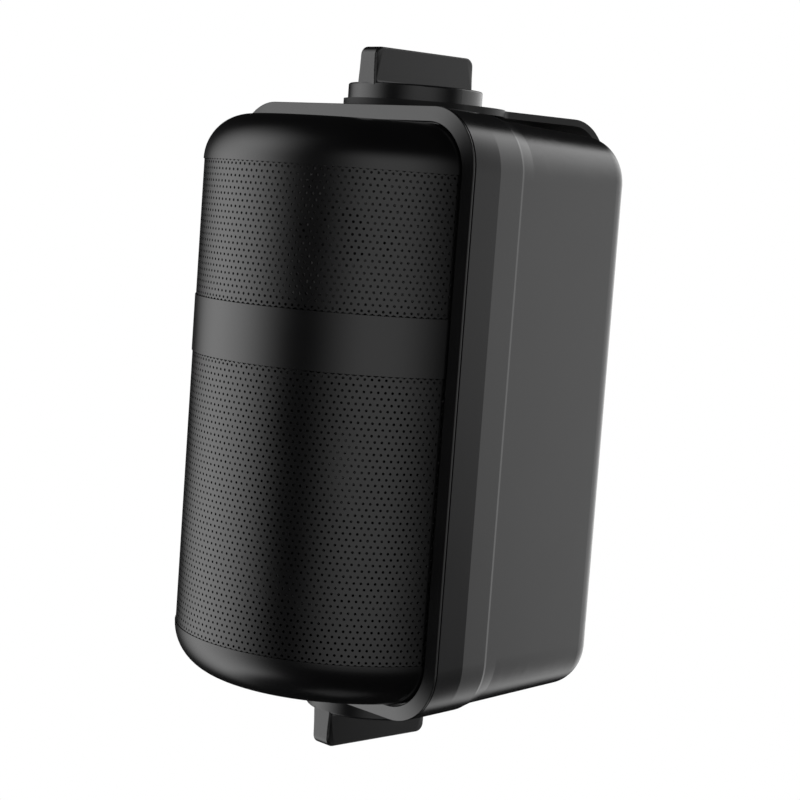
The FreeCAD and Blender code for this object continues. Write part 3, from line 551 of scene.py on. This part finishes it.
# %% Finishes by slot
finishes = {name: surface(name, **look) for name, look in LOOKS.items()}
slot_of = {row["node"]: row["material_slot"] for row in frame["record"]["subparts"]}
for node, piece in frame["nodes"].items():
    piece.data.materials.clear()
    piece.data.materials.append(finishes[slot_of[node]])
for piece in grille_pieces:
    piece.data.materials.append(finishes["grille_steel"])
print("nodes with a finish", len(slot_of))

# %% [markdown]
# ## The studio
#
# The picture was lit for a catalogue: a tall soft box on the left, a bright one behind on the right, a
# weak one near the camera, and darkness between them, which draws the dark streaks on the half-round
# grille. Lamps could stand for the boxes, but painted on the world they have soft edges and never come
# into the picture. To paint them, each direction gets two angles: the bearing, which is 0 at the camera
# and grows to the right, and the rise above the horizon.

# %% Angles of the world
UPWARDS = (0, 0, 1)
world = bpy.data.worlds.new("dark_studio")
bpy.context.scene.world = world
world.use_nodes = True
sky = world.node_tree
sky.nodes.clear()


def calculate(operation, *values):
    """Math node of the world on sockets or plain numbers."""
    node = sky.nodes.new("ShaderNodeMath")
    node.operation = operation
    for socket, value in zip(node.inputs, values):
        if isinstance(value, (int, float)):
            socket.default_value = value
        else:
            sky.links.new(value, socket)
    return node.outputs["Value"]


def along(direction, axis):
    """Share of a direction along an axis, as a dot product."""
    node = sky.nodes.new("ShaderNodeVectorMath")
    node.operation = "DOT_PRODUCT"
    node.inputs[1].default_value = axis
    sky.links.new(direction, node.inputs[0])
    return node.outputs["Value"]


where = sky.nodes.new("ShaderNodeTexCoord").outputs["Generated"]
to_camera = Vector((math.sin(VIEW_BEARING), -math.cos(VIEW_BEARING), 0))
bearing = calculate("DEGREES", calculate("ARCTAN2", along(where, view_right), along(where, to_camera)))
rise = calculate("DEGREES", calculate("ARCSINE", along(where, UPWARDS)))
steepness = calculate("ABSOLUTE", rise)
print("bearing 0 looks along", [round(share, 3) for share in to_camera])

# %% [markdown]
# A box is a product of four smooth steps, one for each side, so it fades out as a real box does. The
# streaks in the photograph don't keep their width from top to bottom, so the left and right sides may
# lean: the steeper the direction, the further in the side is drawn, by one share above the horizon and
# another below it. The steps could be one ramp with many stops, but then no side could be moved by
# itself.

# %% Soft boxes
HORIZON_FADE = 6


def step_between(value, start, end, low=0.0, high=1.0):
    """Smooth step from low at the start angle to high at the end angle."""
    node = sky.nodes.new("ShaderNodeMapRange")
    node.interpolation_type = "SMOOTHSTEP"
    node.inputs["From Min"].default_value = start
    node.inputs["From Max"].default_value = end
    node.inputs["To Min"].default_value = low
    node.inputs["To Max"].default_value = high
    sky.links.new(value, node.inputs["Value"])
    return node.outputs["Result"]


def drawn_in(lean):
    """Degrees by which a side is drawn in: its lean above or below the horizon times the steepness."""
    above, below = lean
    return calculate("MULTIPLY", steepness, step_between(rise, -HORIZON_FADE, HORIZON_FADE, below, above))


def painted_box(strength, left, right, bottom, top, left_lean=(0, 0), right_lean=(0, 0)):
    """Soft box on the world; each side is a pair of angles, from dark to full light."""
    from_left = step_between(calculate("SUBTRACT", bearing, drawn_in(left_lean)), *left)
    from_right = step_between(calculate("ADD", bearing, drawn_in(right_lean)), *right)
    upright = calculate("MULTIPLY", step_between(rise, *bottom), step_between(rise, *top))
    across = calculate("MULTIPLY", from_left, from_right)
    return calculate("MULTIPLY", calculate("MULTIPLY", across, upright), strength)


left_box = painted_box(strength=2.4, left=(-154, -100), right=(-45, -93), bottom=(-60, -45), top=(64, 24),
                       left_lean=(0.28, 0.06), right_lean=(0, -0.1))
camera_box = painted_box(strength=0.95, left=(-36, 5), right=(66, 20), bottom=(-30, -10), top=(45, 20))
right_box = painted_box(strength=1.45, left=(64, 95), right=(180, 160), bottom=(-60, -50), top=(52, 45),
                        left_lean=(0.62, 0.83), right_lean=(0.84, 0.59))
brighter_above = step_between(rise, start=4, end=34, low=1.0, high=1.75)
right_box = calculate("MULTIPLY", right_box, brighter_above)
boxes = calculate("ADD", calculate("ADD", left_box, camera_box), right_box)
print("nodes for the boxes", len(sky.nodes))

# %% [markdown]
# The background is white, but a white world would shine in every black surface and turn it grey. So only
# the camera's own rays see white paper, and all other rays see the boxes in a studio that is nearly dark.

# %% White for the camera
DARK_STUDIO = 0.006
WHITE = (1, 1, 1, 1)
studio_light = sky.nodes.new("ShaderNodeBackground")
sky.links.new(calculate("ADD", boxes, DARK_STUDIO), studio_light.inputs["Strength"])
studio_light.inputs["Color"].default_value = WHITE
paper_white = sky.nodes.new("ShaderNodeBackground")
paper_white.inputs["Color"].default_value = WHITE
choice = sky.nodes.new("ShaderNodeMixShader")
sky.links.new(sky.nodes.new("ShaderNodeLightPath").outputs["Is Camera Ray"], choice.inputs["Fac"])
sky.links.new(studio_light.outputs["Background"], choice.inputs[1])
sky.links.new(paper_white.outputs["Background"], choice.inputs[2])
sky.links.new(choice.outputs["Shader"], sky.nodes.new("ShaderNodeOutputWorld").inputs["Surface"])
print("world nodes", len(sky.nodes))

# %% [markdown]
# The floor is a plain pale square, about as far below as such a speaker hangs above a floor, so its soft
# shadow falls outside the main picture. A wide floor would be mirrored in the lower edges, so it stays
# small. It adds white for the camera alone, which keeps it as light as the background without lighting
# the product.

# %% Floor
FLOOR_DROP = 1500.0 * MM
FLOOR_HALF = 250.0 * MM
FLOOR_BLOTCH = 400.0
FLOOR_ROUGH = 0.9
PALE = (0.8, 0.8, 0.8)
PALER = (0.84, 0.84, 0.84)
floor_points = FLOOR_HALF * np.array([(-1, -1, 0), (1, -1, 0), (1, 1, 0), (-1, 1, 0)], float)
floor_points += (0, grille_axis_y, cad_box[0][2] - FLOOR_DROP)
floor = mesh_piece("floor", floor_points, [np.array([[0, 1, 2, 3]])])
floor_finish, tree, shader, place = finish_graph("pale_floor")
floor_colour = tint(tree, cloud(tree, place, FLOOR_BLOTCH), PALE, PALER)
camera_ray = tree.nodes.new("ShaderNodeLightPath").outputs["Is Camera Ray"]
tree.links.new(floor_colour, shader.inputs["Base Color"])
tree.links.new(camera_ray, shader.inputs["Emission Strength"])
shader.inputs["Roughness"].default_value = FLOOR_ROUGH
shader.inputs["Emission Color"].default_value = WHITE
floor.data.materials.append(floor_finish)
print("floor at", round(float(floor_points[0, 2]), 3))
